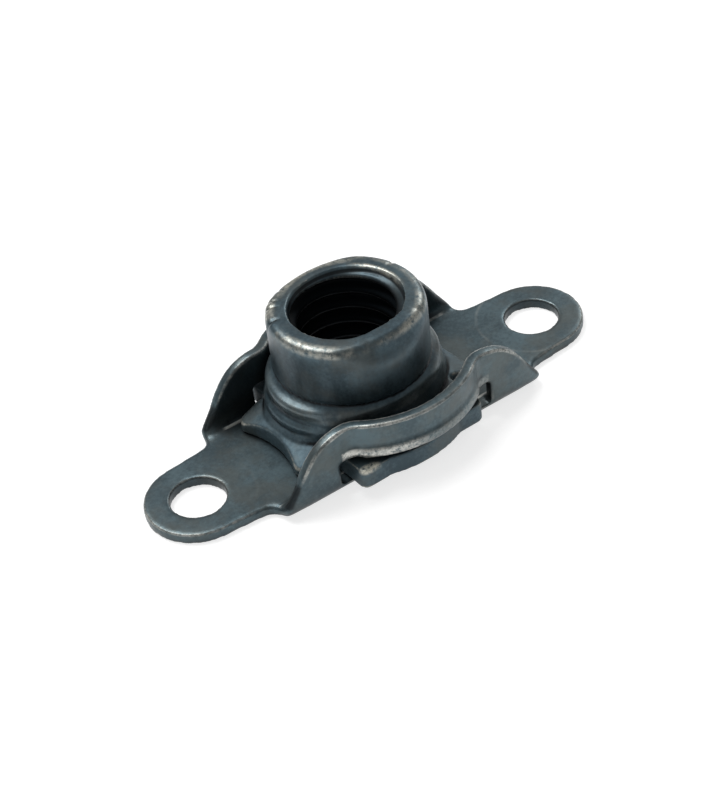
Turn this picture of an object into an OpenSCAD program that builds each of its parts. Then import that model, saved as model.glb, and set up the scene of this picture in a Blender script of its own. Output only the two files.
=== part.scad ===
// Two-lug floating rivet-on nut, M8.
// A sheet steel cage is riveted down through its two lugs. A forged nut sits loose inside it:
// its ears reach out through a window in each side wall, so it can shift to meet the bolt
// but can neither turn nor lift out. The barrel is pinched oval at the top to lock the thread.
// Frame: origin on the seating face, midway between the rivet holes, X along the lugs, Z up.

/* [Cage] */
// Distance between the two rivet holes
rivet_spacing = 28; // [26:0.5:34]
// Diameter of each rivet hole
rivet_hole_d = 3.8; // [3:0.1:4.4]
// Thickness of the cage sheet
sheet_t = 0.8; // [0.6:0.05:1]
// Radius of the rounded end of each lug
lug_end_r = 3.65; // [3.2:0.05:4.2]
// Half width of a lug where it joins the folded middle
lug_root_half_w = 3.9; // [3.6:0.05:4.4]
// Radius of the inside corner between a lug and the folded middle
lug_fillet_r = 0.85; // [0.4:0.05:1]
// Half length of the folded middle
middle_half_len = 10.6; // [10.2:0.05:11.3]
// Inside radius of the fold along each side
fold_r = 0.4; // [0.3:0.05:0.6]
// Height of the side walls above the seating face
wall_h = 5.3; // [4.9:0.05:5.6]
// Half length of the side walls along their top edge
wall_top_half_len = 7.45; // [7:0.05:8.2]
// Radius of the rounded top corners of the side walls
wall_corner_r = 3.6; // [1:0.1:4]
// Diameter of the hole that the bolt comes through
bolt_hole_d = 8.6; // [8.2:0.1:8.6]

/* [Windows and straps] */
// Running gap between a wall and the flank of the nut
flank_gap = 1.15; // [1:0.05:1.3]
// Half width of the window in each wall
window_half_w = 6.15; // [5.95:0.05:6.6]
// Gap above the ears of the nut, under the strap
ear_gap = 0.3; // [0.2:0.05:0.5]
// Gap between the nut's boss and the inside of the strap, with the nut centred
strap_gap = 1.2; // [1.1:0.05:1.3]
// Outside radius of the curve that blends each strap into its wall
strap_blend_r = 1.2; // [0.8:0.05:1.3]
// How far the lip along the lower edge of the strap stands out
lip_out = 0.25; // [0.1:0.05:0.4]
// Height of the lip along the lower edge of the strap
lip_h = 0.9; // [0.7:0.05:1.2]
// Height of the lip's crest above the lower edge of the strap
lip_crest_h = 0.35; // [0.2:0.05:0.4]
// Angle by which the lip stops short of each end of the strap's round
lip_short_angle = 2; // [1:0.5:8]

/* [Nut flange] */
// Thickness of the ears
ear_t = 1.5; // [1.2:0.05:1.7]
// Half width of each ear
ear_half_w = 5.1; // [4.8:0.05:5.3]
// Distance from the nut's axis to the front of an ear
ear_reach = 7.4; // [7.1:0.05:7.7]
// Radius of the rounded belly between the corners of an ear
belly_r = 7.95; // [7.8:0.05:8.2]
// Corner radius of the ears
ear_corner_r = 0.55; // [0.2:0.05:0.8]
// Half width of the flange between the walls
flank_half_w = 3.65; // [3.4:0.05:3.9]
// Thickness of the flange at its two ends
end_t = 0.45; // [0.4:0.05:0.8]
// Rise of the sloping skirt from the ends to the ring round the boss
skirt_rise = 1; // [0.6:0.05:1.2]
// Radius at the foot of the sloping skirt
skirt_foot_r = 8.8; // [8.2:0.1:9.2]
// Radius of the hollow in each end, which clears the rivet head
end_hollow_r = 7.1; // [6.7:0.05:7.3]
// Radius of the rounded corners at each end of the flange
end_corner_r = 0.6; // [0.3:0.1:0.9]
// Play under the nut, which lies just off the cage
under_gap = 0.1; // [0.05:0.01:0.2]

/* [Nut barrel] */
// Radius of the boss at the foot of the barrel
boss_r = 6.05; // [5.9:0.05:6.2]
// Half width of the boss across the cage, where it is pressed oval
boss_half_w = 5.6; // [5.45:0.05:5.7]
// How far past the axis the curves of the oval boss are struck
boss_centre = 1.5; // [1:0.25:2]
// Height of the straight side of the boss above the seating face
boss_side_z = 3.75; // [3.5:0.05:4.1]
// Height at which the boss meets the barrel
boss_top_z = 5.05; // [4.8:0.05:5.6]
// Radius of the flared ring at the foot of the boss
ring_r = 6.6; // [6.4:0.05:6.8]
// Height above the seating face at which the flared ring runs out into the boss
ring_top_z = 3.5; // [3.2:0.05:3.5]
// Radius of the barrel
barrel_r = 5.38; // [5.3:0.01:5.55]
// Depth of the fine groove at the foot of the barrel
foot_groove = 0.12; // [0.05:0.01:0.25]
// Height of the top of the barrel above the seating face
barrel_top_z = 9.6; // [9:0.1:11]
// Half width of the barrel's top across the pinch
pinch_half_w = 4.65; // [4.4:0.05:5]
// Depth of the pinched band
pinch_h = 1.7; // [1:0.1:2.2]
// How far past the axis the curves of the pinch are struck
pinch_centre = 3; // [2:0.5:5]
// Radius of the rounded rim
rim_r = 0.4; // [0.2:0.05:0.5]
// Half width of the mouth at the top, along the cage
mouth_r = 3.9; // [3.7:0.05:4.2]
// Half width of the mouth at the top, across the pinch
mouth_half_w = 3.65; // [3.5:0.05:3.9]
// Radius of the bore where the mouth ends and the thread starts
mouth_foot_r = 3.4; // [3.35:0.05:3.5]
// Depth of the mouth
mouth_depth = 0.45; // [0.3:0.05:0.8]
// Radius of the bore at the crests of the M8 x 1.25 thread
thread_minor_r = 3.324; // [3.2:0.001:3.45]
// Outer radius of the thread, where the lead-in underneath starts
lead_in_r = 4.1; // [4:0.05:4.4]

/* [Where the nut lies in its float] */
// Shift of the nut along the cage
nut_shift_x = -0.65; // [-0.7:0.05:0.7]
// Shift of the nut across the cage
nut_shift_y = 0.55; // [-0.55:0.05:0.55]
// Turn of the nut about its own axis, in degrees
nut_turn = 2.5; // [-2.5:0.5:2.5]

/* [Hidden] */
$fn = 96;

// how far a cut runs past the face that it breaks through
past = 1;

// the cage, worked out from the nut that it holds
fold_out_r = fold_r + sheet_t;
wall_in = flank_half_w + flank_gap;
wall_out = wall_in + sheet_t;
fold_y = wall_out - fold_out_r;
nut_z = sheet_t + under_gap;
ear_top_z = nut_z + ear_t;
window_top_z = ear_top_z + ear_gap;
strap_in_r = boss_half_w + strap_gap;
strap_out_r = strap_in_r + sheet_t;
blend_y = wall_out + strap_blend_r;
blend_x = sqrt(pow(strap_out_r + strap_blend_r, 2) - pow(blend_y, 2));
blend_angle = atan2(blend_x, blend_y);
lip_arc_r = (pow(lip_h - lip_crest_h, 2) + pow(lip_out, 2)) / (2 * lip_out);
lug_root_x = middle_half_len + lug_fillet_r;
lug_root_y = lug_root_half_w + lug_fillet_r;

// the nut's flange and barrel
end_x = rivet_spacing / 2 - sqrt(pow(end_hollow_r, 2) - pow(flank_half_w, 2));
end_corner_y = flank_half_w - end_corner_r;
end_corner_in = sqrt(pow(end_hollow_r + end_corner_r, 2) - pow(end_corner_y, 2));
shoulder_rise = boss_top_z - boss_side_z;
shoulder_in = boss_r - barrel_r;
shoulder_r = (pow(shoulder_rise, 2) + pow(shoulder_in, 2)) / (2 * shoulder_in);

// ---------------------------------------------------------------- cage

// a shape and its mirror image on the other side
module both_sides(axis) {
    children();
    mirror(axis) children();
}

// plan of one lug: a round end, nearly straight sides and a hollow corner at each side of its root
module lug_outline() {
    translate([rivet_spacing / 2, 0]) circle(r = lug_end_r);
    polygon([
        [0, -lug_root_half_w], [lug_root_x, -lug_root_half_w],
        [rivet_spacing / 2, -lug_end_r], [rivet_spacing / 2, lug_end_r],
        [lug_root_x, lug_root_half_w], [0, lug_root_half_w]]);
    both_sides([0, 1]) difference() {
        translate([middle_half_len, lug_root_half_w]) square(lug_fillet_r);
        translate([lug_root_x, lug_root_y]) circle(r = lug_fillet_r);
    }
}

// flat sheet: both lugs with the strip between them
module base() {
    linear_extrude(sheet_t) {
        square([2 * middle_half_len, 2 * fold_y], center = true);
        both_sides([1, 0]) lug_outline();
    }
}

// section of one fold, from the flat sheet up to the straight wall
module fold_section() {
    translate([fold_y, fold_out_r]) intersection() {
        difference() {
            circle(r = fold_out_r);
            circle(r = fold_r);
        }
        translate([0, -fold_out_r]) square(fold_out_r);
    }
}

// plan of the walls' inner or outer side: a band that swells into a round bulge, with hollow
// corners where the two meet
module bulged_band(half_w, bulge_r, blend_r) {
    square([2 * (middle_half_len + past), 2 * half_w], center = true);
    circle(r = bulge_r);
    both_sides([1, 0]) both_sides([0, 1]) difference() {
        polygon([[0, 0], [blend_x, 0], [blend_x, blend_y]]);
        translate([blend_x, blend_y]) circle(r = blend_r);
    }
}

// plan of both walls: straight at their ends, bowed out round the barrel in the middle
module wall_plan() {
    difference() {
        bulged_band(wall_out, strap_out_r, strap_blend_r);
        bulged_band(wall_in, strap_in_r, strap_blend_r + sheet_t);
    }
}

// side view of a wall: sloping ends with rounded top corners
module wall_profile() {
    slope = atan2(wall_h - sheet_t, middle_half_len - wall_top_half_len);
    tangent = wall_corner_r * tan(slope / 2);
    both_sides([1, 0]) {
        polygon([
            [0, 0], [0, wall_h], [wall_top_half_len - tangent, wall_h],
            [wall_top_half_len + tangent * cos(slope), wall_h - tangent * sin(slope)],
            [middle_half_len, sheet_t], [middle_half_len, 0]]);
        translate([wall_top_half_len - tangent, wall_h - wall_corner_r]) circle(r = wall_corner_r);
    }
}

// rounded lip that stiffens the lower edge of one strap
module strap_lip() {
    half_angle = blend_angle - lip_short_angle;
    rotate(90 - half_angle) rotate_extrude(angle = 2 * half_angle) intersection() {
        translate([strap_out_r + lip_out - lip_arc_r, window_top_z + lip_crest_h])
            circle(r = lip_arc_r);
        translate([strap_in_r + sheet_t / 2, window_top_z]) square([sheet_t + lip_out, lip_h]);
    }
}

// both walls, trimmed to their side view, with a window through each for the ears
module walls() {
    difference() {
        intersection() {
            union() {
                translate([0, 0, fold_out_r]) linear_extrude(wall_h - fold_out_r) wall_plan();
                both_sides([0, 1, 0]) rotate([90, 0, 90])
                    linear_extrude(2 * middle_half_len, center = true) fold_section();
            }
            rotate([90, 0, 0]) linear_extrude(2 * (strap_out_r + past), center = true) wall_profile();
        }
        translate([-window_half_w, -strap_out_r - past, sheet_t])
            cube([2 * window_half_w, 2 * (strap_out_r + past), window_top_z - sheet_t]);
    }
}

module cage() {
    color("slategray") difference() {
        union() {
            base();
            walls();
            both_sides([0, 1, 0]) strap_lip();
        }
        for (side = [-1, 1]) translate([side * rivet_spacing / 2, 0, -past])
            cylinder(d = rivet_hole_d, h = sheet_t + 2 * past);
        translate([0, 0, -past]) cylinder(d = bolt_hole_d, h = sheet_t + 2 * past);
    }
}

// ---------------------------------------------------------------- nut, about its own axis

// plan of the two ears: rounded corners, with a round belly between them
module ear_outline() {
    square([2 * ear_half_w, 2 * (ear_reach - ear_corner_r)], center = true);
    square([2 * (ear_half_w - ear_corner_r), 2 * ear_reach], center = true);
    for (x = [-1, 1], y = [-1, 1])
        translate([x * (ear_half_w - ear_corner_r), y * (ear_reach - ear_corner_r)])
            circle(r = ear_corner_r);
    intersection() {
        circle(r = belly_r);
        square([2 * ear_half_w, 2 * belly_r], center = true);
    }
}

// plan of the part between the walls, hollowed at each end round the rivet head
module flank_outline() {
    reach = 2 * end_corner_r;
    difference() {
        square([2 * end_x, 2 * flank_half_w], center = true);
        both_sides([1, 0]) translate([rivet_spacing / 2, 0]) circle(r = end_hollow_r);
        // takes the sharp corners off, back to a round that meets the hollow and the flank
        both_sides([1, 0]) both_sides([0, 1])
            translate([rivet_spacing / 2 - end_corner_in, end_corner_y]) difference() {
                polygon([
                    [0, 0], [0, reach], [reach, reach], [reach, -reach * end_corner_y / end_corner_in]]);
                circle(r = end_corner_r);
            }
    }
}

module flange() {
    linear_extrude(ear_t) ear_outline();
    linear_extrude(end_t) flank_outline();
    // the skirt slopes down from the boss to the two ends
    intersection() {
        translate([0, 0, end_t]) cylinder(r1 = skirt_foot_r, r2 = ring_r, h = skirt_rise);
        linear_extrude(end_t + skirt_rise) flank_outline();
    }
}

// boss with a round shoulder and a flared foot, oval so that it passes inside the straps
module boss() {
    side_h = boss_side_z - nut_z;
    ring_foot_h = end_t + skirt_rise;
    intersection() {
        rotate_extrude() {
            square([boss_r, side_h]);
            polygon([[0, 0], [ring_r, 0], [ring_r, ring_foot_h], [boss_r, ring_top_z - nut_z], [0, side_h]]);
            translate([0, side_h]) intersection() {
                translate([boss_r - shoulder_r, 0]) circle(r = shoulder_r);
                square([boss_r, shoulder_rise]);
            }
        }
        linear_extrude(boss_top_z) intersection_for(side = [-1, 1])
            translate([0, side * boss_centre]) circle(r = boss_half_w + boss_centre);
    }
}

// leans in on both sides from one width at the foot to a smaller one at the top
module pinch(foot_half_w, top_half_w, height) {
    intersection_for(side = [-1, 1]) translate([0, side * pinch_centre, 0])
        cylinder(r1 = foot_half_w + pinch_centre, r2 = top_half_w + pinch_centre, h = height);
}

// outside of the barrel: a round rim, pinched oval across the cage near the top
module barrel() {
    top = barrel_top_z - nut_z;
    pinch_z = top - pinch_h;
    intersection() {
        rotate_extrude() {
            square([barrel_r - rim_r, top]);
            square([barrel_r, top - rim_r]);
            translate([barrel_r - rim_r, top - rim_r]) circle(r = rim_r);
        }
        union() {
            translate([-boss_r, -boss_r, 0]) cube([2 * boss_r, 2 * boss_r, pinch_z]);
            translate([0, 0, pinch_z]) pinch(barrel_r, pinch_half_w, pinch_h);
        }
    }
}

// fine groove where the barrel meets its boss
module foot_groove() {
    translate([0, 0, boss_top_z - nut_z + foot_groove]) rotate_extrude()
        translate([barrel_r, 0]) circle(r = foot_groove);
}

// bore with the lead-in underneath and the pinched mouth at the top
module bore() {
    lead_in_h = lead_in_r - thread_minor_r;
    foot_cone_h = mouth_foot_r - thread_minor_r;
    top = barrel_top_z - nut_z;
    translate([0, 0, -past]) cylinder(r = thread_minor_r, h = top + 2 * past);
    cylinder(r1 = lead_in_r, r2 = thread_minor_r, h = lead_in_h);
    translate([0, 0, top - mouth_depth - foot_cone_h])
        cylinder(r1 = thread_minor_r, r2 = mouth_foot_r, h = foot_cone_h);
    translate([0, 0, top - mouth_depth]) intersection() {
        cylinder(r1 = mouth_foot_r, r2 = mouth_r, h = mouth_depth);
        pinch(mouth_foot_r, mouth_half_w, mouth_depth);
    }
}

module nut() {
    color("dimgray") translate([nut_shift_x, nut_shift_y, nut_z]) rotate(nut_turn) difference() {
        union() {
            flange();
            boss();
            barrel();
        }
        foot_groove();
        bore();
    }
}

cage();
nut();
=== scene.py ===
import math
from collections import namedtuple

import bpy
import numpy as np
from mathutils import Matrix, Vector


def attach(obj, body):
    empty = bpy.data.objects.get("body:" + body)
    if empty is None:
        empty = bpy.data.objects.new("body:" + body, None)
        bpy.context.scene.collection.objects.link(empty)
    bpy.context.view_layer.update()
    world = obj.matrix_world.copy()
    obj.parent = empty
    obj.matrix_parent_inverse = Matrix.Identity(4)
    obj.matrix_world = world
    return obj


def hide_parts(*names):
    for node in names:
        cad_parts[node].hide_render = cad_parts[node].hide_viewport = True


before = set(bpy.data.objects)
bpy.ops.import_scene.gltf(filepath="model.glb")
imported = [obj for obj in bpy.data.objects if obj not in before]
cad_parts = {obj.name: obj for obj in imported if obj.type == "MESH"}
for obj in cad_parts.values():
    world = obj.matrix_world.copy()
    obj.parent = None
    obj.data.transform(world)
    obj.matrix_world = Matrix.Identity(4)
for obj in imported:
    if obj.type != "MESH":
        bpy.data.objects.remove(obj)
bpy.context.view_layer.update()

MM = 0.001
scene = bpy.context.scene
scene.view_settings.view_transform = "Standard"


# ---------------------------------------------------------------- sizes of the nut

# the nut's own axis, and how far the nut is turned in the cage
NUT_X = -0.65 * MM
NUT_Y = 0.55 * MM
NUT_TURN = math.radians(2.5)

# thread, and the facets of one turn of its cutter
PITCH = 1.25 * MM
THREAD_ROOT_R = 4.02 * MM
THREAD_CREST_R = 3.32 * MM
THREAD_CREST_LAND = 0.2 * MM
THREAD_ROOT_LAND = 0.16 * MM
THREAD_FOOT_Z = 0.8 * MM
THREAD_TOP_Z = 10.2 * MM
THREAD_FACETS = 72

# inner edge of the thread's cutter: how far inside the crests, and the gap left between two turns
CUTTER_INSIDE = 0.35 * MM
CUTTER_GAP = 0.02 * MM

# oval rings: radius along and across the cage, height, thickness
BOSS_BEADS = ((5.76 * MM, 5.04 * MM, 4.4 * MM, 0.42 * MM), (6.06 * MM, 5.06 * MM, 3.25 * MM, 0.42 * MM))
MOUTH_GROOVE = (3.72 * MM, 3.47 * MM, 9.42 * MM, 0.2 * MM)
RING_FACETS = 128
RING_ROUND_FACETS = 20

# dents in the rim: bearing in degrees, depth, half width
NICKS = ((121, 0.06 * MM, 0.13 * MM), (136, 0.09 * MM, 0.13 * MM), (144, 0.12 * MM, 0.12 * MM),
         (161, 0.11 * MM, 0.14 * MM), (199, 0.05 * MM, 0.15 * MM), (254, 0.05 * MM, 0.2 * MM),
         (310, 0.06 * MM, 0.18 * MM), (17, 0.08 * MM, 0.14 * MM))

# where the dents begin and where they reach their full depth
NICK_R = (4.3 * MM, 4.8 * MM)
NICK_Z = (8.7 * MM, 9.2 * MM)


# ---------------------------------------------------------------- sizes of the cage

# rivet holes, to either side of the middle
RIVET_X = 14 * MM

# straps
WALL_OUT = 5.6 * MM
STRAP_OUT_R = 7.6 * MM
STRAP_BLEND_R = 1.2 * MM
WINDOW_HALF_W = 6.15 * MM

# bead along the lower edge of each strap. A higher fullness keeps it thick nearer to its ends
BEAD_Z = 3.12 * MM
BEAD_R = 0.5 * MM
BEAD_OUT = 0.25 * MM
BEAD_END_R = 0.3 * MM
BEAD_POINTS = 41
BEAD_FULLNESS = 6
BEAD_RESOLUTION = 5


# ---------------------------------------------------------------- sizes of the finish

# facets of the two finished pieces, how often all of their edges are eased, and how far each time
CAGE_FACET = 0.125 * MM
NUT_FACET = 0.12 * MM
CAGE_PASSES = 5
NUT_PASSES = 7
EASED_SHARE = 0.5

# points of a CAD node that lie closer than this are one point
MERGE_DISTANCE = 1e-7

# parts that are eased further: how often, and where the easing begins and is at its full
RIM_PASSES = 50
RIM_EASED_R = (4.1 * MM, 4.5 * MM)
RIM_EASED_Z = (7.0 * MM, 8.2 * MM)
FOLD_PASSES = 6
FOLD_FROM_HOLE = (2.3 * MM, 2.9 * MM)
WALL_FOOT_PASSES = 60
WALL_FOOT_X = (8.6 * MM, 9.6 * MM)
WALL_FOOT_Y = (3.6 * MM, 4.6 * MM)
WALL_FOOT_Z = (2.2 * MM, 3.2 * MM)

# how many times the surface is averaged to find what stands proud of it
PROUD_PASSES = 10


# ---------------------------------------------------------------- making

def deselect():
    bpy.ops.object.select_all(action="DESELECT")


def activate(piece):
    deselect()
    piece.select_set(True)
    bpy.context.view_layer.objects.active = piece


def finish_modifiers(piece):
    activate(piece)
    for modifier in list(piece.modifiers):
        bpy.ops.object.modifier_apply(modifier=modifier.name)


def join(piece, others):
    activate(piece)
    for other in others:
        other.select_set(True)
    bpy.ops.object.join()


def copy_of_node(node, name):
    """A merged copy of a CAD node, ready to be worked on."""
    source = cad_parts[node]
    piece = bpy.data.objects.new(name, source.data.copy())
    piece.data.name = name
    scene.collection.objects.link(piece)
    activate(piece)
    bpy.ops.object.mode_set(mode="EDIT")
    bpy.ops.mesh.select_all(action="SELECT")
    bpy.ops.mesh.remove_doubles(threshold=MERGE_DISTANCE)
    bpy.ops.object.mode_set(mode="OBJECT")
    return piece


def cut(piece, cutter):
    """Takes the cutter out of the piece."""
    modifier = piece.modifiers.new("cut", "BOOLEAN")
    modifier.operation = "DIFFERENCE"
    modifier.solver = "EXACT"
    modifier.use_self = True
    modifier.object = cutter
    finish_modifiers(piece)
    bpy.data.objects.remove(cutter, do_unlink=True)


def forge_smooth(piece, facet, passes):
    """Fine even facets, then the sharp edges are eased as on a stamped or forged part."""
    remesh = piece.modifiers.new("fine_facets", "REMESH")
    remesh.mode = "VOXEL"
    remesh.voxel_size = facet
    remesh.use_smooth_shade = True
    smooth = piece.modifiers.new("eased_edges", "SMOOTH")
    smooth.factor = EASED_SHARE
    smooth.iterations = passes
    finish_modifiers(piece)


def ramp(value, low, high):
    """0 below low, 1 above high, straight between."""
    return min(max((value - low) / (high - low), 0.0), 1.0)


def ease(piece, name, weight_at, passes):
    """Eases one part of the piece further. weight_at gives how much, from 0 to 1, at a point."""
    part = piece.vertex_groups.new(name=name)
    for vertex in piece.data.vertices:
        weight = weight_at(vertex.co)
        if weight > 0:
            part.add([vertex.index], weight, "REPLACE")
    smooth = piece.modifiers.new(name, "SMOOTH")
    smooth.factor = EASED_SHARE
    smooth.iterations = passes
    smooth.vertex_group = name
    finish_modifiers(piece)
    piece.vertex_groups.clear()


def rim_weight(place):
    """The rubbed outer edge of the nut's rim and the pinched sides below it."""
    radius = math.hypot(place.x - NUT_X, place.y - NUT_Y)
    return ramp(radius, *RIM_EASED_R) * ramp(place.z, *RIM_EASED_Z)


def fold_weight(place):
    """All of the cage but the punched rivet holes, which keep crisper edges."""
    return ramp(math.hypot(abs(place.x) - RIVET_X, place.y), *FOLD_FROM_HOLE)


def wall_foot_weight(place):
    """The ends of the cage's walls, where they run out into the lugs."""
    return (ramp(abs(place.x), *WALL_FOOT_X) * ramp(abs(place.y), *WALL_FOOT_Y)
            * (1 - ramp(place.z, *WALL_FOOT_Z)))


def nick(piece, bearing, depth, half_width):
    """A short dent across the rim's outer edge."""
    angle = math.radians(bearing)
    for vertex in piece.data.vertices:
        place = vertex.co
        x, y = place.x - NUT_X, place.y - NUT_Y
        radius = math.hypot(x, y)
        if place.z < NICK_Z[0] or radius < NICK_R[0]:
            continue
        turn = (math.atan2(y, x) - angle + math.pi) % (2 * math.pi) - math.pi
        press = depth * math.exp(-(turn * radius / half_width) ** 2) * ramp(radius, *NICK_R)
        vertex.co -= Vector((x / radius, y / radius, 1)).normalized() * press * ramp(place.z, *NICK_Z)


def mark_proud(piece):
    """Stores on each point how far, in millimetres, it stands proud of the surface around it."""
    mesh = piece.data
    count = len(mesh.vertices)
    places = np.empty(count * 3)
    mesh.vertices.foreach_get("co", places)
    places = places.reshape(-1, 3)
    normals = np.empty(count * 3)
    mesh.vertices.foreach_get("normal", normals)
    ends = np.empty(len(mesh.edges) * 2, dtype=np.int64)
    mesh.edges.foreach_get("vertices", ends)
    first, second = ends[0::2], ends[1::2]
    valence = np.bincount(ends, minlength=count)[:, None]
    averaged = places.copy()
    for _ in range(PROUD_PASSES):
        total = np.stack([
            np.bincount(first, averaged[second, axis], count)
            + np.bincount(second, averaged[first, axis], count)
            for axis in range(3)], axis=1)
        averaged = 0.5 * averaged + 0.5 * total / valence
    proud = ((places - averaged) * normals.reshape(-1, 3)).sum(axis=1) / MM
    layer = mesh.attributes.new("proud", "FLOAT", "POINT")
    layer.data.foreach_set("value", proud)


def close_ends(piece):
    """Fills the open ends of a swept piece and turns its faces outwards."""
    activate(piece)
    bpy.ops.object.mode_set(mode="EDIT")
    bpy.ops.mesh.select_mode(type="EDGE")
    bpy.ops.mesh.select_all(action="DESELECT")
    bpy.ops.mesh.select_non_manifold(extend=False, use_wire=False, use_boundary=True)
    bpy.ops.mesh.fill_holes(sides=0)
    bpy.ops.mesh.select_all(action="SELECT")
    bpy.ops.mesh.normals_make_consistent(inside=False)
    bpy.ops.object.mode_set(mode="OBJECT")


def thread_profile():
    """Corners of one turn's groove, as radius and height, that the thread's cutter carries round."""
    inner = THREAD_CREST_R - CUTTER_INSIDE
    outline = ((inner, PITCH - CUTTER_GAP), (THREAD_CREST_R, PITCH - THREAD_CREST_LAND),
               (THREAD_ROOT_R, THREAD_ROOT_LAND))
    upper = [(radius, width / 2) for radius, width in outline]
    lower = [(radius, -width / 2) for radius, width in reversed(outline)]
    return upper + lower


def thread_cutter():
    """One long helical wedge that leaves the grooves of the thread in the bore."""
    corner_shade = thread_profile()
    deselect()
    bpy.ops.mesh.primitive_circle_add(vertices=len(corner_shade), location=(0, 0, 0))
    cutter = bpy.context.active_object
    for vertex, (radius, height) in zip(cutter.data.vertices, corner_shade):
        vertex.co = (radius, 0, THREAD_FOOT_Z + height)
    turns = math.ceil((THREAD_TOP_Z - THREAD_FOOT_Z) / PITCH)
    screw = cutter.modifiers.new("helix", "SCREW")
    screw.angle = 2 * math.pi * turns
    screw.screw_offset = PITCH * turns
    screw.iterations = 1
    screw.steps = THREAD_FACETS * turns
    screw.render_steps = THREAD_FACETS * turns
    finish_modifiers(cutter)
    close_ends(cutter)
    cutter.data.transform(Matrix.Translation((NUT_X, NUT_Y, 0)))
    return cutter


def strap_point(along, stand_off):
    """Point on a strap's outer face at a distance along the cage, moved out by stand_off."""
    blend_y = WALL_OUT + STRAP_BLEND_R
    blend_x = math.sqrt((STRAP_OUT_R + STRAP_BLEND_R) ** 2 - blend_y ** 2)
    seam_x = blend_x * STRAP_OUT_R / (STRAP_OUT_R + STRAP_BLEND_R)
    x = abs(along)
    if x < seam_x:
        y = math.sqrt(STRAP_OUT_R ** 2 - x ** 2)
        out = Vector((x, y)).normalized()
    elif x < blend_x:
        dip = math.sqrt(STRAP_BLEND_R ** 2 - (blend_x - x) ** 2)
        y = blend_y - dip
        out = Vector((blend_x - x, dip)).normalized()
    else:
        y = WALL_OUT
        out = Vector((0, 1))
    place = Vector((x, y)) + out * stand_off
    return math.copysign(place.x, along), place.y


def strap_bead(side):
    """Rounded bead that stiffens the lower edge of a strap and dies away at both ends."""
    curve = bpy.data.curves.new("strap_bead", "CURVE")
    curve.dimensions = "3D"
    curve.bevel_depth = 1.0
    curve.bevel_resolution = BEAD_RESOLUTION
    curve.use_fill_caps = True
    spline = curve.splines.new("POLY")
    spline.points.add(BEAD_POINTS - 1)
    for i, point in enumerate(spline.points):
        t = 2 * i / (BEAD_POINTS - 1) - 1
        fade = 1 - abs(t) ** BEAD_FULLNESS
        radius = BEAD_END_R + (BEAD_R - BEAD_END_R) * fade
        x, y = strap_point(t * WINDOW_HALF_W, BEAD_OUT * fade - radius)
        point.co = (x, side * y, BEAD_Z, 1)
        point.radius = radius
    bead = bpy.data.objects.new("strap_bead", curve)
    scene.collection.objects.link(bead)
    activate(bead)
    bpy.ops.object.convert(target="MESH")
    return bead


def oval_ring(along, across, height, thickness):
    """Oval ring about the nut's axis, turned as the nut is."""
    deselect()
    bpy.ops.mesh.primitive_torus_add(
        location=(0, 0, 0), major_radius=along, minor_radius=thickness,
        major_segments=RING_FACETS, minor_segments=RING_ROUND_FACETS)
    ring = bpy.context.active_object
    for vertex in ring.data.vertices:
        spoke = Vector((vertex.co.x, vertex.co.y, 0)).normalized()
        vertex.co -= spoke * (along - across) * spoke.y ** 2
    ring.data.transform(Matrix.Translation((NUT_X, NUT_Y, height)) @ Matrix.Rotation(NUT_TURN, 4, "Z"))
    return ring


# ---------------------------------------------------------------- pieces

cage_shell = copy_of_node("cage", "cage_shell")
join(cage_shell, [strap_bead(side) for side in (-1, 1)])
forge_smooth(cage_shell, CAGE_FACET, CAGE_PASSES)
ease(cage_shell, "folds", fold_weight, FOLD_PASSES)
ease(cage_shell, "wall_feet", wall_foot_weight, WALL_FOOT_PASSES)
mark_proud(cage_shell)
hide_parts("cage")
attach(cage_shell, "cage")

nut_body = copy_of_node("nut", "nut_body")
cut(nut_body, thread_cutter())
cut(nut_body, oval_ring(*MOUTH_GROOVE))
join(nut_body, [oval_ring(*bead) for bead in BOSS_BEADS])
forge_smooth(nut_body, NUT_FACET, NUT_PASSES)
ease(nut_body, "rim", rim_weight, RIM_PASSES)
for bearing, depth, half_width in NICKS:
    nick(nut_body, bearing, depth, half_width)
mark_proud(nut_body)
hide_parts("nut")
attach(nut_body, "nut")


# ---------------------------------------------------------------- nodes

def wire(tree, source, target):
    tree.links.new(source, target)


def feed(tree, value, socket):
    """Gives a socket a number or a colour, or wires another node's output to it."""
    if isinstance(value, (int, float, tuple)):
        socket.default_value = value
    else:
        wire(tree, value, socket)


def math_node(tree, operation, *values):
    """One step of arithmetic on numbers or on other nodes' outputs."""
    node = tree.nodes.new("ShaderNodeMath")
    node.operation = operation
    for value, socket in zip(values, node.inputs):
        feed(tree, value, socket)
    return node.outputs[0]


def add(tree, first, second):
    return math_node(tree, "ADD", first, second)


def subtract(tree, first, second):
    return math_node(tree, "SUBTRACT", first, second)


def unsigned(tree, value):
    return math_node(tree, "ABSOLUTE", value)


def times(tree, first, *others):
    """All of the values multiplied together, as where several masks meet."""
    product = first
    for other in others:
        product = math_node(tree, "MULTIPLY", product, other)
    return product


def either(tree, first, *others):
    """The strongest of several masks."""
    strongest = first
    for other in others:
        strongest = math_node(tree, "MAXIMUM", strongest, other)
    return strongest


def outside(tree, mask):
    """1 where the mask is 0, and 0 where it is 1."""
    return subtract(tree, 1.0, mask)


def squares(tree, first, second):
    """Sum of the squares of two distances."""
    return add(tree, times(tree, first, first), times(tree, second, second))


def step(tree, value, low, high):
    """0 below low, 1 above high, smooth between."""
    node = tree.nodes.new("ShaderNodeMapRange")
    node.interpolation_type = "SMOOTHSTEP"
    for socket, bound in (("Value", value), ("From Min", low), ("From Max", high)):
        feed(tree, bound, node.inputs[socket])
    return node.outputs["Result"]


def below(tree, value, low, high):
    """1 below low, 0 above high, smooth between."""
    return outside(tree, step(tree, value, low, high))


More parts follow.
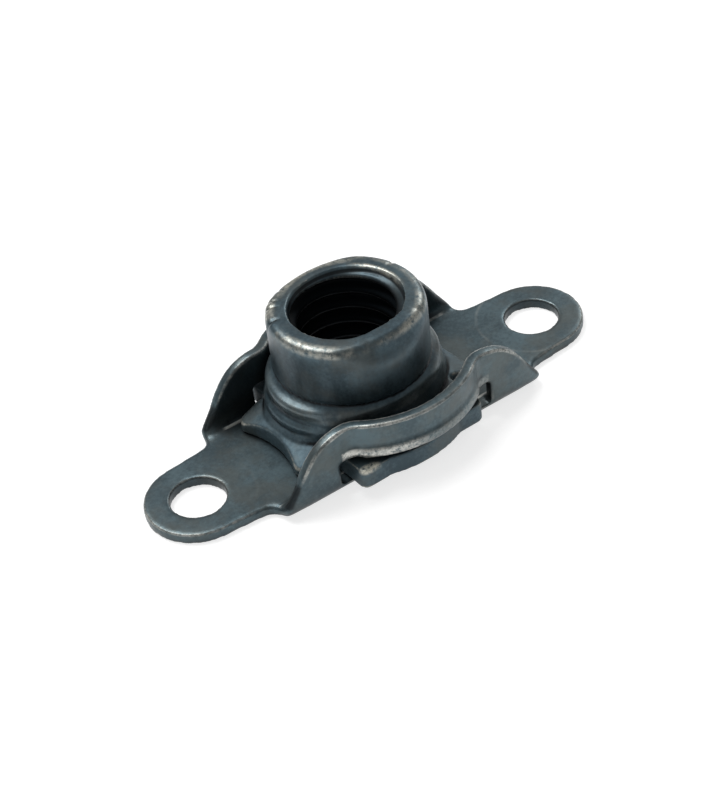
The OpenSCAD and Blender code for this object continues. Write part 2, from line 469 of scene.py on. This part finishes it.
def band(tree, value, low, high, soft):
    """1 between low and high, fading over soft at both ends."""
    return times(tree, step(tree, value, low - soft, low + soft),
                 below(tree, value, high - soft, high + soft))


def noise(tree, scale, detail, roughness, stretch=None):
    """Noise on the piece's own coordinates. Scale is in features per metre."""
    coords = tree.nodes.new("ShaderNodeTexCoord")
    source = coords.outputs["Object"]
    if stretch:
        mapping = tree.nodes.new("ShaderNodeMapping")
        mapping.inputs["Scale"].default_value = stretch
        wire(tree, source, mapping.inputs["Vector"])
        source = mapping.outputs["Vector"]
    node = tree.nodes.new("ShaderNodeTexNoise")
    node.inputs["Detail"].default_value = detail
    node.inputs["Roughness"].default_value = roughness
    feed(tree, scale, node.inputs["Scale"])
    wire(tree, source, node.inputs["Vector"])
    return node.outputs["Fac"]


def patches(tree, scale, detail, roughness, low, high, stretch=None):
    """Patches of noise: none of it below low, all of it above high."""
    return step(tree, noise(tree, scale, detail, roughness, stretch), low, high)


def mix_colour(tree, mask, first, second):
    """The first colour where the mask is 0, the second where it is 1."""
    node = tree.nodes.new("ShaderNodeMix")
    node.data_type = "RGBA"
    for socket, value in (("Factor", mask), ("A", first), ("B", second)):
        feed(tree, value, node.inputs[socket])
    return node.outputs["Result"]


def mix_value(tree, mask, first, second):
    """The first value where the mask is 0, the second where it is 1."""
    node = tree.nodes.new("ShaderNodeMix")
    for socket, value in (("Factor", mask), ("A", first), ("B", second)):
        feed(tree, value, node.inputs[socket])
    return node.outputs["Result"]


def group(name, inputs, outputs):
    """An empty shader node group with named inputs and outputs."""
    tree = bpy.data.node_groups.new(name, "ShaderNodeTree")
    for label, kind, value in inputs:
        socket = tree.interface.new_socket(label, in_out="INPUT", socket_type=kind)
        socket.default_value = value
    for label, kind in outputs:
        tree.interface.new_socket(label, in_out="OUTPUT", socket_type=kind)
    return tree, tree.nodes.new("NodeGroupInput"), tree.nodes.new("NodeGroupOutput")


def use(tree, effect, **values):
    """Places a node group in a material, with its own values."""
    node = tree.nodes.new("ShaderNodeGroup")
    node.node_tree = effect
    for name, value in values.items():
        node.inputs[name].default_value = value
    return node


# ---------------------------------------------------------------- effects of both pieces

# noises: features per metre, detail, roughness, and where patches begin and are full
PATCH_DETAIL = (4.0, 0.6)
PATCH_SOFTNESS = 0.2
SPECKS = (5000.0, 3.0, 0.65, 0.2, 0.62)
CLOUDS = (260.0, 4.0, 0.6)
CRYSTALS = (4200.0, 3.0, 0.65)
LUMPS = (900.0, 3.0, 0.5)
GLOSS = (1100.0, 3.0, 0.6)
STAINS = (210.0, 5.0, 0.68, 0.44, 0.64)

# phosphate: the noises that make its blotches, where dark turns to light, how strong the stains
# are, the range of its roughness and the height of its crystals and lumps
CLOUD_SHARE = 0.65
CRYSTAL_SHARE = 0.35
LIGHT_AND_DARK = (0.38, 0.62)
STAIN_STRENGTH = 0.62
ROUGHNESS = (0.27, 0.47)
CRYSTAL_HEIGHT = 0.6
LUMP_HEIGHT = 1.2

# recesses: rays sent out, and how open the fully sheltered and the fully open places are
SHELTER_RAYS = 6
SHELTER_OPENNESS = (0.2, 0.85)

# bare steel, cold and warm, the near black used for painted shade, and how they take the light
BARE = (0.72, 0.72, 0.67, 1)
WARM_BARE = (0.74, 0.72, 0.62, 1)
SHADE_BLACK = (0.005, 0.0065, 0.008, 1)
WORN_ROUGHNESS = 0.28
OILY_ROUGHNESS = 0.6
COAT_METALLIC = 0.65
WORN_METALLIC = 0.5
BUMP_STRENGTH = 0.35
BUMP_DISTANCE = 0.03 * MM


def proud_of_surface(tree):
    """How far the point stands proud of the surface around it, in millimetres."""
    node = tree.nodes.new("ShaderNodeAttribute")
    node.attribute_name = "proud"
    return node.outputs["Fac"]


def edge_wear():
    """Bare metal along the proud edges, broken up so that it looks rubbed."""
    tree, given, result = group(
        "Edge wear",
        [("Start", "NodeSocketFloat", 0.03), ("Full", "NodeSocketFloat", 0.055),
         ("Patch Scale", "NodeSocketFloat", 500.0), ("Cover", "NodeSocketFloat", 0.5)],
        [("Mask", "NodeSocketFloat")])
    proud = step(tree, proud_of_surface(tree), given.outputs["Start"], given.outputs["Full"])
    bare = subtract(tree, 1.0, given.outputs["Cover"])
    rubbed = step(tree, noise(tree, given.outputs["Patch Scale"], *PATCH_DETAIL),
                  subtract(tree, bare, PATCH_SOFTNESS), add(tree, bare, PATCH_SOFTNESS))
    wire(tree, times(tree, proud, rubbed, patches(tree, *SPECKS)), result.inputs["Mask"])
    return tree


def painted_corner_shade():
    """Painted shade in the hollow corners."""
    tree, given, result = group(
        "Dark corners", [("Start", "NodeSocketFloat", -0.006), ("Full", "NodeSocketFloat", -0.035)],
        [("Mask", "NodeSocketFloat")])
    dark = below(tree, proud_of_surface(tree), given.outputs["Full"], given.outputs["Start"])
    wire(tree, dark, result.inputs["Mask"])
    return tree


def phosphate():
    """Blotchy oiled phosphate: colour, roughness and the height of its fine crystals."""
    tree, given, result = group(
        "Oiled phosphate",
        [("Light", "NodeSocketColor", (0.09, 0.115, 0.13, 1)),
         ("Dark", "NodeSocketColor", (0.04, 0.055, 0.065, 1)),
         ("Stain", "NodeSocketColor", (0.106, 0.117, 0.11, 1))],
        [("Color", "NodeSocketColor"), ("Roughness", "NodeSocketFloat"), ("Height", "NodeSocketFloat")])
    crystals = noise(tree, *CRYSTALS)
    blotches = add(tree, times(tree, noise(tree, *CLOUDS), CLOUD_SHARE),
                   times(tree, crystals, CRYSTAL_SHARE))
    plain = mix_colour(tree, step(tree, blotches, *LIGHT_AND_DARK),
                       given.outputs["Dark"], given.outputs["Light"])
    stained = times(tree, patches(tree, *STAINS), STAIN_STRENGTH)
    wire(tree, mix_colour(tree, stained, plain, given.outputs["Stain"]), result.inputs["Color"])
    wire(tree, mix_value(tree, noise(tree, *GLOSS), *ROUGHNESS), result.inputs["Roughness"])
    height = add(tree, times(tree, crystals, CRYSTAL_HEIGHT), times(tree, noise(tree, *LUMPS), LUMP_HEIGHT))
    wire(tree, height, result.inputs["Height"])
    return tree


EDGE_WEAR = edge_wear()
PAINTED_CORNER_SHADE = painted_corner_shade()
PHOSPHATE = phosphate()


def sheltered(tree, reach):
    """1 in deep recesses. It paints shade into them, and keeps wear out of them."""
    node = tree.nodes.new("ShaderNodeAmbientOcclusion")
    node.samples = SHELTER_RAYS
    node.inputs["Distance"].default_value = reach
    return below(tree, node.outputs["AO"], *SHELTER_OPENNESS)


# where the shaded point lies, in metres: its place, how far it is to either side of the cage's
# middle line, and how far from an upright axis
Spot = namedtuple("Spot", ("x", "y", "z", "aside", "radius"))


def shaded_spot(tree, axis_x, axis_y):
    coords = tree.nodes.new("ShaderNodeTexCoord")
    split = tree.nodes.new("ShaderNodeSeparateXYZ")
    wire(tree, coords.outputs["Object"], split.inputs["Vector"])
    x, y, z = (split.outputs[axis] for axis in "XYZ")
    from_axis = squares(tree, subtract(tree, x, axis_x), subtract(tree, y, axis_y))
    return Spot(x, y, z, unsigned(tree, y), math_node(tree, "SQRT", from_axis))


def phosphated_steel(name, light, dark, cover):
    """Phosphated steel: the material, its tree and what its own marks build on."""
    material = bpy.data.materials.new(name)
    material.use_nodes = True
    tree = material.node_tree
    coat = use(tree, PHOSPHATE, Light=light, Dark=dark)
    wear_and_highlights = use(tree, EDGE_WEAR, Cover=cover).outputs["Mask"]
    # painted shade in the hollow corners
    painted_shade = use(tree, PAINTED_CORNER_SHADE).outputs["Mask"]
    return material, tree, coat, wear_and_highlights, painted_shade


def finish_steel(tree, coat, wear_and_highlights, painted_shade, bare=BARE, oily=0.0, unlit=0.0):
    """Joins coat, wear with its painted highlights, and painted shade in the shader. Oily parts are dull,
    and unlit ones nearly black.
    """
    shader = tree.nodes["Principled BSDF"]
    # painted shade: the coat is darkened towards near black
    coloured = mix_colour(tree, painted_shade, coat.outputs["Color"], SHADE_BLACK)
    wire(tree, mix_colour(tree, wear_and_highlights, coloured, bare), shader.inputs["Base Color"])
    rough = mix_value(tree, wear_and_highlights, coat.outputs["Roughness"], WORN_ROUGHNESS)
    wire(tree, either(tree, rough, times(tree, oily, OILY_ROUGHNESS)), shader.inputs["Roughness"])
    metal = mix_value(tree, wear_and_highlights, COAT_METALLIC, WORN_METALLIC)
    wire(tree, either(tree, metal, unlit), shader.inputs["Metallic"])
    bump = tree.nodes.new("ShaderNodeBump")
    bump.inputs["Strength"].default_value = BUMP_STRENGTH
    bump.inputs["Distance"].default_value = BUMP_DISTANCE
    wire(tree, coat.outputs["Height"], bump.inputs["Height"])
    wire(tree, bump.outputs["Normal"], shader.inputs["Normal"])


# ---------------------------------------------------------------- finish of the cage

# Each mark lies where its ranges meet. A pair gives where a fade begins and where it is full, a
# triple gives the two ends of a band and how softly they fade, and five values are a noise and
# its patches. Where a strength has two values, it changes from the first to the second.

# coat, and how much of its edges is worn
CAGE_LIGHT = (0.108, 0.158, 0.178, 1)
CAGE_DARK = (0.064, 0.094, 0.108, 1)
CAGE_WEAR = 0.5

# outer face of the straps' beads: rubbed, with a painted highlight that grows towards their left ends
LIP_R = (7.62 * MM, 8.2 * MM, 0.06 * MM)
LIP_Z = (2.6 * MM, 3.45 * MM, 0.1 * MM)
LIP_ASIDE = (5.1 * MM, 5.5 * MM)
LIP_SCRATCHES = (3200.0, 4.0, 0.75, 0.3, 0.62)
LIP_LEFT = (0.8 * MM, 3.6 * MM)
LIP_STRENGTH = (0.22, 1.0)
LEFT_NOISE = (400.0, 2.0, 0.5)
LEFT_WANDER = 2 * MM

# top edges of the walls: rubbed, with a painted highlight that grows towards the left
TOP_EDGE_START = 0.024
TOP_EDGE_FULL = 0.042
TOP_EDGE_COVER = 0.72
TOP_Z = (4.7 * MM, 5.0 * MM)
TOP_LEFT = (-1 * MM, 3 * MM)
TOP_STRENGTH = (0.2, 0.75)

# painted highlight along the inside of the folds
FOLD_ASIDE = (4.36 * MM, 4.56 * MM, 0.05 * MM)
FOLD_Z = (0.75 * MM, 1.0 * MM, 0.05 * MM)
FOLD_HIGHLIGHT_STRENGTH = 0.8
LINE_AND_RING_PATCHES = (500.0, 3.0, 0.6, 0.35, 0.6)

# rings round the rivet holes, fainter on the left lug
RIVET_RING_R = (3.84 * MM, 4.02 * MM, 0.1 * MM)
RIVET_RING_Z = (0.7 * MM, 0.9 * MM, 0.05 * MM)
RIVET_RING_X = (-1 * MM, 1 * MM)
RIVET_RING_STRENGTH = (0.03, 0.15)

# parts of the edges that wear less
HOLE_EDGE_R = (2.1 * MM, 2.6 * MM)
HOLE_EDGE_STRENGTH = (0.35, 1.0)
WALL_END_ASIDE = (4.7 * MM, 5.0 * MM)
WALL_END_Z = (2.2 * MM, 3.8 * MM)
WALL_END_X = (5.8 * MM, 6.2 * MM)
WALL_END_LOSS = 0.8

# painted shade inside the walls, on the sides of the windows, in the rivet holes and in recesses
INSIDE_ASIDE = (4.0 * MM, 4.92 * MM, 0.06 * MM)
INSIDE_Z = (0.9 * MM, 1.8 * MM)
INSIDE_STRENGTH = 0.6
WINDOW_ASIDE = (4.8 * MM, 5.5 * MM, 0.06 * MM)
WINDOW_Z = (1.0 * MM, 2.55 * MM, 0.15 * MM)
WINDOW_STRENGTH = 0.75
PUNCHED_R = (1.93 * MM, 2.0 * MM)
PUNCHED_STRENGTH = 0.6
CAGE_SHELTER_REACH = 3 * MM
CAGE_SHELTER_STRENGTH = 0.7


def leftwards(tree, spot):
    """How far the point lies to the left, as each side is seen from outside, give or take some noise."""
    left = times(tree, spot.x, math_node(tree, "SIGN", spot.y))
    return add(tree, left, times(tree, noise(tree, *LEFT_NOISE), LEFT_WANDER))


def lip_wear_and_highlight(tree, spot, left):
    """The beads of the straps are rubbed bright, with a painted highlight that is strongest towards their
    left ends.
    """
    lips = times(tree, band(tree, spot.radius, *LIP_R), band(tree, spot.z, *LIP_Z),
                 step(tree, spot.aside, *LIP_ASIDE))
    strength = mix_value(tree, step(tree, left, *LIP_LEFT), *LIP_STRENGTH)
    return times(tree, lips, times(tree, patches(tree, *LIP_SCRATCHES), strength))


def wall_top_wear_and_highlight(tree, spot, left):
    """The top edges of the walls are rubbed almost all along, with a painted highlight that grows towards
    the left.
    """
    edges = use(tree, EDGE_WEAR, Start=TOP_EDGE_START, Full=TOP_EDGE_FULL, Cover=TOP_EDGE_COVER)
    strength = mix_value(tree, step(tree, left, *TOP_LEFT), *TOP_STRENGTH)
    return times(tree, edges.outputs["Mask"], step(tree, spot.z, *TOP_Z), strength)


def painted_fold_highlight(tree, spot):
    """Painted highlight along the inside of each fold."""
    return times(tree, band(tree, spot.aside, *FOLD_ASIDE), band(tree, spot.z, *FOLD_Z),
                 patches(tree, *LINE_AND_RING_PATCHES), FOLD_HIGHLIGHT_STRENGTH)


def rivet_rings(tree, spot, from_hole):
    """The rivets' heads leave a faint ring on each lug."""
    strength = mix_value(tree, step(tree, spot.x, *RIVET_RING_X), *RIVET_RING_STRENGTH)
    return times(tree, band(tree, from_hole, *RIVET_RING_R), band(tree, spot.z, *RIVET_RING_Z),
                 patches(tree, *LINE_AND_RING_PATCHES), strength)


def wall_ends(tree, spot):
    """The lower ends of the walls, which are not touched in use."""
    return times(tree, step(tree, spot.aside, *WALL_END_ASIDE), below(tree, spot.z, *WALL_END_Z),
                 step(tree, unsigned(tree, spot.x), *WALL_END_X))


def cage_wear_and_highlights(tree, spot, edges, from_hole):
    """Bare metal on the edges and round the rivets, and bare metal with painted highlights on the straps'
    beads and the tops of the walls.
    """
    left = leftwards(tree, spot)
    wear_and_highlights = either(tree, edges, lip_wear_and_highlight(tree, spot, left))
    hole_edges = mix_value(tree, step(tree, from_hole, *HOLE_EDGE_R), *HOLE_EDGE_STRENGTH)
    kept = outside(tree, times(tree, wall_ends(tree, spot), WALL_END_LOSS))
    wear_and_highlights = times(tree, wear_and_highlights, hole_edges, kept)
    return either(tree, wear_and_highlights, wall_top_wear_and_highlight(tree, spot, left), rivet_rings(tree, spot, from_hole))


def cage_painted_shade(tree, spot, corner_shade, from_hole):
    """Painted shade inside the walls, in the windows and rivet holes, and in the hollow corners and
    recesses.
    """
    inside = times(tree, band(tree, spot.aside, *INSIDE_ASIDE), step(tree, spot.z, *INSIDE_Z))
    windows = times(tree, band(tree, spot.aside, *WINDOW_ASIDE), band(tree, spot.z, *WINDOW_Z))
    return either(tree, corner_shade, times(tree, inside, INSIDE_STRENGTH),
                  times(tree, windows, WINDOW_STRENGTH),
                  times(tree, below(tree, from_hole, *PUNCHED_R), PUNCHED_STRENGTH),
                  times(tree, sheltered(tree, CAGE_SHELTER_REACH), CAGE_SHELTER_STRENGTH))


def cage_finish():
    """Folded sheet steel, rubbed where it is handled, with painted highlights along its folds, beads and
    wall tops and painted shade in its recesses.
    """
    material, tree, coat, edges, corner_shade = phosphated_steel(
        "cage_steel_finish", CAGE_LIGHT, CAGE_DARK, CAGE_WEAR)
    spot = shaded_spot(tree, 0, 0)
    along = subtract(tree, unsigned(tree, spot.x), RIVET_X)
    from_hole = math_node(tree, "SQRT", squares(tree, along, spot.y))
    # painted highlight along the inside of the folds, where no painted shade goes
    fold_highlight = painted_fold_highlight(tree, spot)
    wear_and_highlights = either(tree, cage_wear_and_highlights(tree, spot, edges, from_hole), fold_highlight)
    painted_shade = times(tree, cage_painted_shade(tree, spot, corner_shade, from_hole), outside(tree, fold_highlight))
    finish_steel(tree, coat, wear_and_highlights, painted_shade)
    return material


# ---------------------------------------------------------------- finish of the nut

# coat, and how much of its edges is worn
NUT_LIGHT = (0.096, 0.146, 0.172, 1)
NUT_DARK = (0.052, 0.082, 0.1, 1)
NUT_WEAR = 0.5

# bore, painted dark as shade and oil, and its part that no light reaches
BORE_R = (3.9 * MM, 4.15 * MM)
BORE_Z = (8.9 * MM, 9.5 * MM)
BORE_STRENGTH = 0.98
DEEP_Z = (8.3 * MM, 9.1 * MM)

# painted shadow in the groove round the mouth
GROOVE_Z = (9.24 * MM, 9.44 * MM, 0.04 * MM)
GROOVE_R = (3.9 * MM, 4.0 * MM)
GROOVE_SHADOW_STRENGTH = 0.85

# painted shade on the upright sides of the barrel, in upright streaks
BARREL_SHADE_STREAKS = (800.0, 3.0, 0.6, 0.35, 0.65, (1.0, 1.0, 0.2))
BARREL_SHADE_Z = (5.3 * MM, 8.7 * MM, 0.4 * MM)
BARREL_SHADE_STRENGTH = (0.42, 0.24)

# outer edge of the rim
RIM_R = (4.5 * MM, 4.9 * MM)
RIM_Z = (8.9 * MM, 9.3 * MM)
RIM_PATCHES = (330.0, 4.0, 0.65, 0.37, 0.63)
RIM_SCRATCHES = (3000.0, 4.0, 0.75, 0.3, 0.62)
RIM_STRENGTH = 0.65

# painted highlights on the far side of the rim, and inside it at the right
FAR_Y = (3.6 * MM, 4.6 * MM)
FAR_R = (4.25 * MM, 4.75 * MM, 0.15 * MM)
RIGHT_X = (1.6 * MM, 2.9 * MM)
RIGHT_Y = (-1.0 * MM, 1.0 * MM)
RIGHT_R = (3.9 * MM, 4.2 * MM, 0.08 * MM)
RIM_HIGHLIGHT_SPECKS = (2600.0, 4.0, 0.75, 0.3, 0.65)
RIM_HIGHLIGHT_Z = (9.1 * MM, 9.35 * MM)
RIM_HIGHLIGHT_STRENGTH = 0.7

# painted highlights on corners of the ears: place and size along and across the cage, edge of the oval,
# height
EAR_CORNER = (4.85 * MM, 7.35 * MM)
EAR_HIGHLIGHT = (1.1 * MM, 0.5 * MM)
EAR_HIGHLIGHT_EDGE = (0.2, 0.95)
EAR_HIGHLIGHT_Z = (2.0 * MM, 2.3 * MM)
EAR_HIGHLIGHT_SPECKS = (3200.0, 4.0, 0.75, 0.3, 0.6)

# painted light on the upper bead of the boss
CREST_Z = (4.0 * MM, 4.85 * MM, 0.15 * MM)
CREST_R = (5.25 * MM, 5.6 * MM)
CREST_PATCHES = (1200.0, 4.0, 0.7, 0.2, 0.7)
CREST_LIGHT_STRENGTH = 0.11

# flange, painted shade in recesses, and how far wear keeps out of recesses
FLANGE_Z = (2.6 * MM, 3.4 * MM)
FLANGE_OIL = 0.85
NUT_SHELTER_REACH = 3 * MM
NUT_SHELTER_STRENGTH = 0.45
WEAR_SHELTER_REACH = 2 * MM


def shaded_barrel_sides(tree, spot):
    """Painted shade on the upright sides of the barrel, in upright streaks."""
    strength = mix_value(tree, patches(tree, *BARREL_SHADE_STREAKS), *BARREL_SHADE_STRENGTH)
    return times(tree, band(tree, spot.z, *BARREL_SHADE_Z), strength)


def rubbed_rim(tree, spot):
    """The rim is rubbed along its outer edge."""
    edge = times(tree, step(tree, spot.radius, *RIM_R), step(tree, spot.z, *RIM_Z))
    rubbed = times(tree, patches(tree, *RIM_PATCHES), patches(tree, *RIM_SCRATCHES))
    return times(tree, edge, rubbed, RIM_STRENGTH)


def painted_rim_highlights(tree, spot):
    """Painted highlights in bare metal, on the rim's far side and inside it at the right."""
    far = times(tree, step(tree, spot.y, *FAR_Y), band(tree, spot.radius, *FAR_R))
    right = times(tree, step(tree, spot.x, *RIGHT_X), band(tree, spot.radius, *RIGHT_R),
                  step(tree, spot.y, *RIGHT_Y))
    return times(tree, either(tree, far, right), patches(tree, *RIM_HIGHLIGHT_SPECKS), step(tree, spot.z, *RIM_HIGHLIGHT_Z),
                 RIM_HIGHLIGHT_STRENGTH)


def painted_ear_highlight(tree, spot, sign):
    """Painted highlights in bare metal on two opposite corners of the ears."""
    corner_x, corner_y = EAR_CORNER
    length, width = EAR_HIGHLIGHT
    along = math_node(tree, "DIVIDE", subtract(tree, spot.x, sign * corner_x), length)
    across = math_node(tree, "DIVIDE", subtract(tree, spot.y, NUT_Y + sign * corner_y), width)
    return times(tree, below(tree, squares(tree, along, across), *EAR_HIGHLIGHT_EDGE),
                 patches(tree, *EAR_HIGHLIGHT_SPECKS), step(tree, spot.z, *EAR_HIGHLIGHT_Z))


def painted_crest_light(tree, spot):
    """Painted light on the upper bead of the boss, all round."""
    return times(tree, band(tree, spot.z, *CREST_Z), step(tree, spot.radius, *CREST_R),
                 patches(tree, *CREST_PATCHES))


def nut_wear_and_highlights(tree, spot, edges, bore, crest_light):
    """Worn edges and marks, painted highlights on the rim and ears, and painted light on the boss's bead.
    All but the boss's bead stop short of the recesses.
    """
    wear_and_highlights = either(tree, times(tree, edges, outside(tree, bore)), rubbed_rim(tree, spot),
                  painted_rim_highlights(tree, spot), painted_ear_highlight(tree, spot, -1), painted_ear_highlight(tree, spot, 1))
    wear_and_highlights = times(tree, wear_and_highlights, outside(tree, sheltered(tree, WEAR_SHELTER_REACH)))
    return either(tree, wear_and_highlights, times(tree, crest_light, CREST_LIGHT_STRENGTH))


def nut_painted_shade(tree, spot, corner_shade, bore, crest_light):
    """Painted shade in the bore, where it also stands for its oil, in the groove round its mouth, on the
    barrel's sides and in the recesses.
    """
    groove = times(tree, band(tree, spot.z, *GROOVE_Z), below(tree, spot.radius, *GROOVE_R))
    painted_shade = either(tree, corner_shade, times(tree, bore, BORE_STRENGTH), times(tree, groove, GROOVE_SHADOW_STRENGTH),
                   shaded_barrel_sides(tree, spot),
                   times(tree, sheltered(tree, NUT_SHELTER_REACH), NUT_SHELTER_STRENGTH))
    return times(tree, painted_shade, outside(tree, crest_light))


def nut_finish():
    """Forged steel, oily and with painted shade in the bore, rubbed round the rim, with painted highlights
    on the rim and ears, painted light on the boss's bead and painted shade on the barrel and in the
    recesses.
    """
    material, tree, coat, edges, corner_shade = phosphated_steel(
        "nut_steel_finish", NUT_LIGHT, NUT_DARK, NUT_WEAR)
    spot = shaded_spot(tree, NUT_X, NUT_Y)
    bore = times(tree, below(tree, spot.radius, *BORE_R), below(tree, spot.z, *BORE_Z))
    deep = times(tree, bore, below(tree, spot.z, *DEEP_Z))
    # painted light on the boss's upper bead, where no painted shade goes
    crest_light = painted_crest_light(tree, spot)
    wear_and_highlights = nut_wear_and_highlights(tree, spot, edges, bore, crest_light)
    painted_shade = nut_painted_shade(tree, spot, corner_shade, bore, crest_light)
    oily = either(tree, bore, times(tree, below(tree, spot.z, *FLANGE_Z), FLANGE_OIL))
    finish_steel(tree, coat, wear_and_highlights, painted_shade, WARM_BARE, oily, deep)
    return material


for piece, material in ((cage_shell, cage_finish()), (nut_body, nut_finish())):
    piece.data.materials.clear()
    piece.data.materials.append(material)


# ---------------------------------------------------------------- camera

# azimuth, elevation and roll in degrees
CAMERA_TURN = (-30.41, 40.23, -7.6)

# place to the right, upwards and backwards, in spacings of the rivet holes
SPACING = 28 * MM
CAMERA_PLACE = (-0.0198, 0.0286, 5.112)

# height of the image and length of one spacing in it, in pixels
IMAGE_H = 800
SPACING_PIXELS = 409.4

SENSOR_H = 36
CLIP_START = 0.005


def camera_axes(azimuth, elevation, roll):
    """Directions to the right of the camera, upwards in its view and backwards from it."""
    az, el, ro = (math.radians(v) for v in (azimuth, elevation, roll))
    back = Vector((math.sin(az) * math.cos(el), -math.cos(az) * math.cos(el), math.sin(el)))
    right = Vector((0, 0, 1)).cross(back).normalized()
    up = back.cross(right)
    return (right * math.cos(ro) + up * math.sin(ro), up * math.cos(ro) - right * math.sin(ro), back)


def set_camera():
    right, up, back = camera_axes(*CAMERA_TURN)
    rightwards, upwards, backwards = CAMERA_PLACE
    data = bpy.data.cameras.new("camera")
    data.sensor_fit = "VERTICAL"
    data.sensor_height = SENSOR_H
    data.lens = SPACING_PIXELS * backwards / IMAGE_H * SENSOR_H
    data.clip_start = CLIP_START
    camera = bpy.data.objects.new("camera", data)
    scene.collection.objects.link(camera)
    camera.matrix_world = Matrix((right, up, back)).transposed().to_4x4()
    camera.location = (right * rightwards + up * upwards + back * backwards) * SPACING
    scene.camera = camera


set_camera()


# ---------------------------------------------------------------- floor and light

FLOOR_SIZE = 12
FLOOR_Z = -0.02 * MM
PAPER = (0.55, 0.55, 0.55, 1)
PAPER_ROUGHNESS = 0.9
PAPER_GLOW = 0.72
WHITE = (1, 1, 1, 1)
WORLD_STRENGTH = 0.25

# lamps: place, side of the square, watts
LAMPS = {
    "overhead": ((-0.05, 0.13, 0.3), 0.19, 0.68),
    "side": ((0.26, 0.16, 0.2), 0.12, 0.2),
    "fill": ((-0.3, -0.12, 0.12), 0.12, 0.05)}


def white_paper():
    """Paper that the camera and reflections see as white, and that still takes the shadow."""
    material = bpy.data.materials.new("paper")
    material.use_nodes = True
    tree = material.node_tree
    shader = tree.nodes["Principled BSDF"]
    shader.inputs["Base Color"].default_value = PAPER
    shader.inputs["Roughness"].default_value = PAPER_ROUGHNESS
    shader.inputs["Emission Color"].default_value = WHITE
    path = tree.nodes.new("ShaderNodeLightPath")
    seen = either(tree, path.outputs["Is Camera Ray"], path.outputs["Is Glossy Ray"],
                  path.outputs["Is Transmission Ray"])
    wire(tree, times(tree, seen, PAPER_GLOW), shader.inputs["Emission Strength"])
    return material


def set_world():
    world = bpy.data.worlds.new("studio")
    world.use_nodes = True
    background = world.node_tree.nodes["Background"]
    background.inputs["Color"].default_value = WHITE
    background.inputs["Strength"].default_value = WORLD_STRENGTH
    scene.world = world


def lamp(name, place, side, power):
    """A square lamp that faces the part."""
    data = bpy.data.lights.new(name, "AREA")
    data.shape = "RECTANGLE"
    data.size = side
    data.size_y = side
    data.energy = power
    light = bpy.data.objects.new(name, data)
    scene.collection.objects.link(light)
    light.location = place
    light.rotation_euler = (-Vector(place)).to_track_quat("-Z", "Y").to_euler()


deselect()
bpy.ops.mesh.primitive_plane_add(size=FLOOR_SIZE, location=(0, 0, FLOOR_Z))
floor = bpy.context.active_object
floor.name = "floor"
floor.data.materials.append(white_paper())
set_world()
for name, (place, side, power) in LAMPS.items():
    lamp(name, place, side, power)
